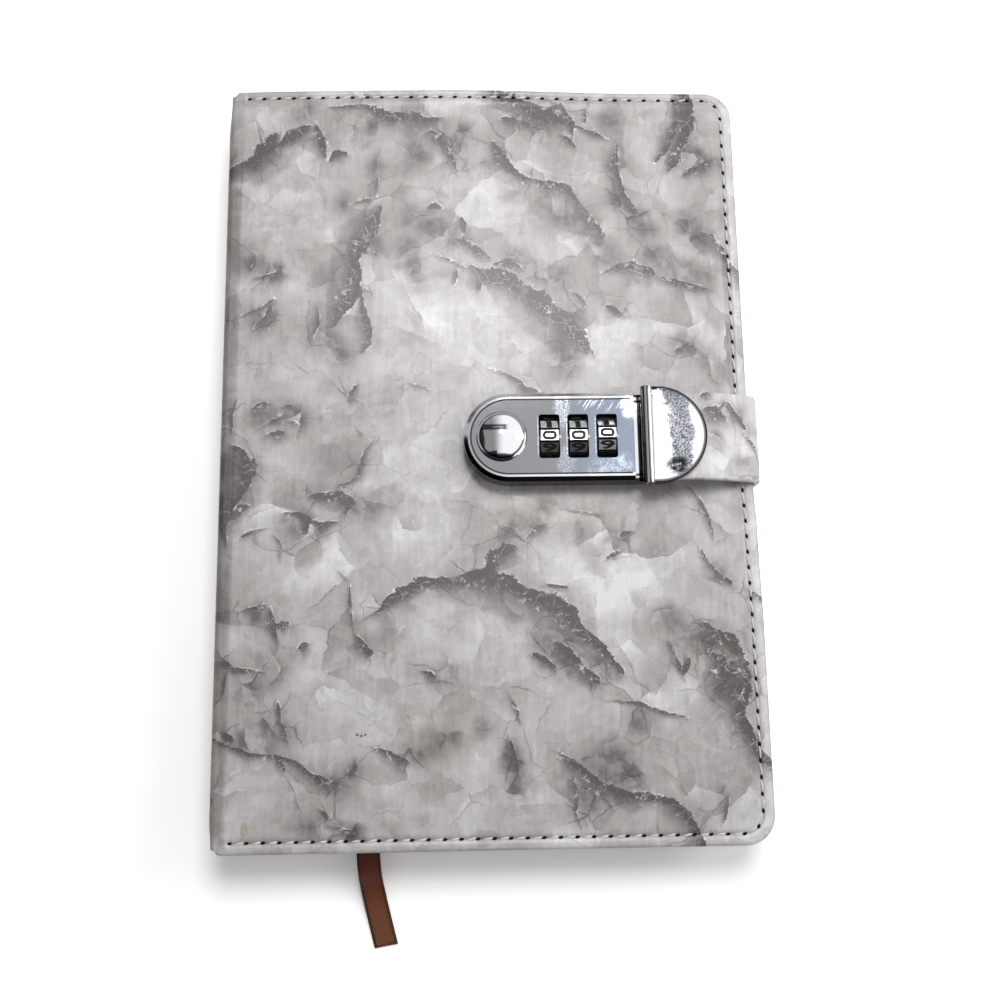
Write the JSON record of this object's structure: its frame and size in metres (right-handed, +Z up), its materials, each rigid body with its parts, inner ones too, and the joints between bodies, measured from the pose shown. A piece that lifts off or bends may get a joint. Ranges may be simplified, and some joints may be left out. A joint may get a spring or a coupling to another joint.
{
  "type": "lock diary",
  "caption": "Hardback diary in a stitched marble-pattern cover, closed by a strap with a combination lock and fitted with a ribbon marker.",
  "frame": {"origin": "centre of the back cover's outer face, on the surface that the closed diary rests on", "axes": "+X towards the fore edge, +Y towards the head of the book, +Z up through the front cover and lock"},
  "size_m": [0.1499, 0.2421, 0.0309],
  "materials": {
    "cover_skin": "soft coated cover material with a printed marble pattern, satin",
    "board": "grey bookbinding board",
    "endpaper": "smooth plain endpaper",
    "pages": "cut edges of cream writing paper",
    "mull": "open-weave binding cloth",
    "ribbon": "brown ribbed satin ribbon",
    "chrome": "polished chrome plate with light handling scratches",
    "dial_metal": "chrome plate with recessed black digits",
    "steel": "plain zinc-plated steel",
    "spring_steel": "bright spring wire and strip",
    "brass": "turned brass, uncoated"
  },
  "bodies": {
    "back_cover": {"back_skin": "cover_skin", "back_board": "board", "back_lining": "endpaper", "strap_base": "cover_skin"},
    "text_block": {"page_block": "pages", "block_mull": "mull", "spine_skin": "cover_skin", "spine_card": "board", "ribbon": "ribbon"},
    "front_cover": {"front_skin": "cover_skin", "front_board": "board", "front_lining": "endpaper", "lock_case": "chrome", "lock_base_plate": "steel", "lock_screws": "steel", "dial_axle": "steel", "button_spring": "spring_steel", "latch_spring": "spring_steel", "detent_spring": "spring_steel"},
    "dial_1": {"dial_wheel_1": "dial_metal", "code_sleeve_1": "brass"},
    "dial_2": {"dial_wheel_2": "dial_metal", "code_sleeve_2": "brass"},
    "dial_3": {"dial_wheel_3": "dial_metal", "code_sleeve_3": "brass"},
    "button": {"button": "chrome"},
    "latch": {"latch_bar": "steel"},
    "catch": {"catch_plate": "chrome", "catch_clamp_plate": "steel", "catch_rivets": "steel", "strap_flap": "cover_skin"}
  },
  "joints": [
    {"name": "back_cover_hinge", "type": "hinge", "parent": "back_cover", "child": "text_block", "pos_m": [-0.0725, 0, -0.00015], "axis": [0, -1, 0], "range_deg": [0, 90]},
    {"name": "front_cover_hinge", "type": "hinge", "parent": "text_block", "child": "front_cover", "pos_m": [-0.0725, 0, 0.02035], "axis": [0, 1, 0], "range_deg": [-175, 0]},
    {"name": "dial_1_spin", "type": "hinge", "parent": "front_cover", "child": "dial_1", "pos_m": [0.0159, 0.0015, 0.0236], "axis": [1, 0, 0], "continuous": true},
    {"name": "dial_2_spin", "type": "hinge", "parent": "front_cover", "child": "dial_2", "pos_m": [0.02375, 0.0015, 0.0236], "axis": [1, 0, 0], "continuous": true},
    {"name": "dial_3_spin", "type": "hinge", "parent": "front_cover", "child": "dial_3", "pos_m": [0.0316, 0.0015, 0.0236], "axis": [1, 0, 0], "continuous": true},
    {"name": "button_press", "type": "slide", "parent": "front_cover", "child": "button", "axis": [0, 0, -1], "range_m": [0, 0.0018], "stiffness_N_per_m": 300, "springref_m": -0.002, "deforming": ["button_spring"]},
    {"name": "latch_slide", "type": "slide", "parent": "front_cover", "child": "latch", "axis": [-1, 0, 0], "range_m": [0, 0.0018], "deforming": ["latch_spring"]},
    {"name": "strap_fold", "type": "hinge", "parent": "back_cover", "child": "catch", "pos_m": [0.0752, 0, 0.0185], "axis": [0, 1, 0], "range_deg": [0, 165]}
  ],
  "couplings": [
    {"joint": "latch_slide", "follows": "button_press", "ratio": 1}
  ]
}
